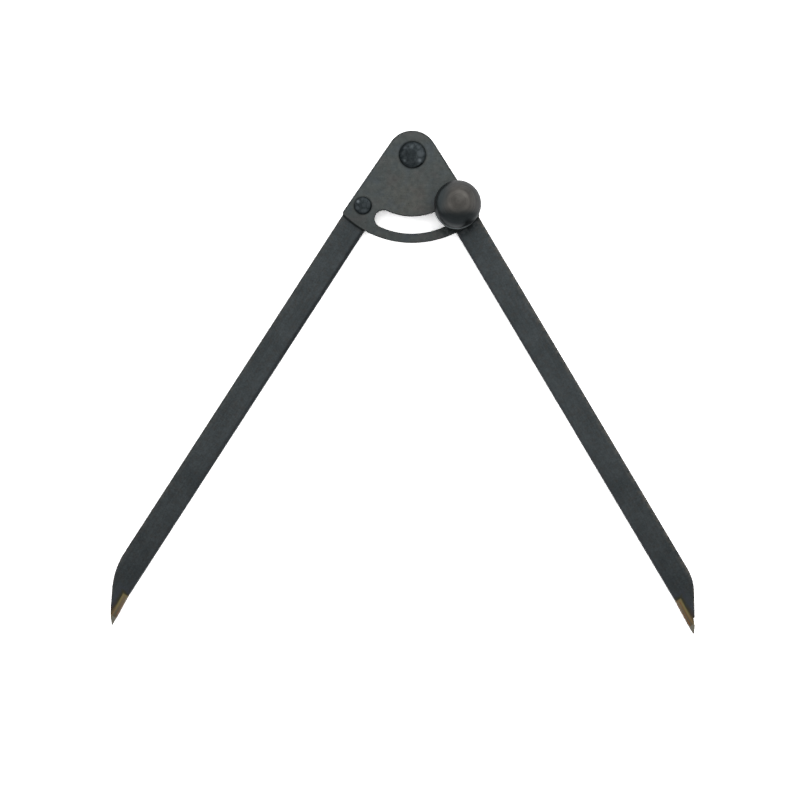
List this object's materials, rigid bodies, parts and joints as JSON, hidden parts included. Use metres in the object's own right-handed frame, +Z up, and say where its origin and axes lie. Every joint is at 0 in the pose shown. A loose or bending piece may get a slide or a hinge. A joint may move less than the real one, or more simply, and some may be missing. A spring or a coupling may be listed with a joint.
{
  "type": "scribing compass",
  "caption": "Steel scribing compass with flat legs on a half-lapped pivot, carbide points, a slotted head plate and a ball knob that clamps the opening.",
  "frame": {"origin": "where the pivot's axis meets the plane of the legs' backs, on which the compass lies", "axes": "+Z up along the pivot's axis, through the ball knob's side; the legs point towards -Y; +X from the left point towards the right one"},
  "size_m": [0.3153, 0.2713, 0.0329],
  "materials": {
    "dark_steel": "dark mill surface, dull, lightly brushed along the bar",
    "plate_steel": "plain rolled plate, grey and dull",
    "rivet_steel": "hammered, darkened steel",
    "turned_steel": "turned bright, with fine rings",
    "washer_steel": "plain bright steel",
    "braze": "brazing brass, ground flush",
    "carbide": "ground carbide, grey and satin"
  },
  "bodies": {
    "left_side": {"left_leg": "dark_steel", "head_plate": "plate_steel", "pivot_rivet": "rivet_steel", "plate_rivet": "rivet_steel", "left_braze": "braze", "left_carbide": "carbide"},
    "right_side": {"right_leg": "dark_steel", "clamp_stud": "turned_steel", "right_braze": "braze", "right_carbide": "carbide"},
    "washer": {"clamp_washer": "washer_steel"},
    "knob": {"ball_knob": "turned_steel"}
  },
  "joints": [
    {"name": "leg_swing", "type": "hinge", "parent": "left_side", "child": "right_side", "pos_m": [0, 0, 0], "axis": [0, 0, 1], "range_deg": [-58.8, 1.5]},
    {"name": "clamp_lift", "type": "slide", "parent": "right_side", "child": "washer", "axis": [0, 0, 1], "range_m": [0, 0.0025]},
    {"name": "knob_turn", "type": "hinge", "parent": "washer", "child": "knob", "pos_m": [0.02393, -0.02757, 0.0214], "axis": [0, 0, 1], "range_deg": [0, 720]}
  ],
  "couplings": [
    {"joint": "knob_turn", "follows": "clamp_lift", "rad_per_m": 5026.5}
  ]
}
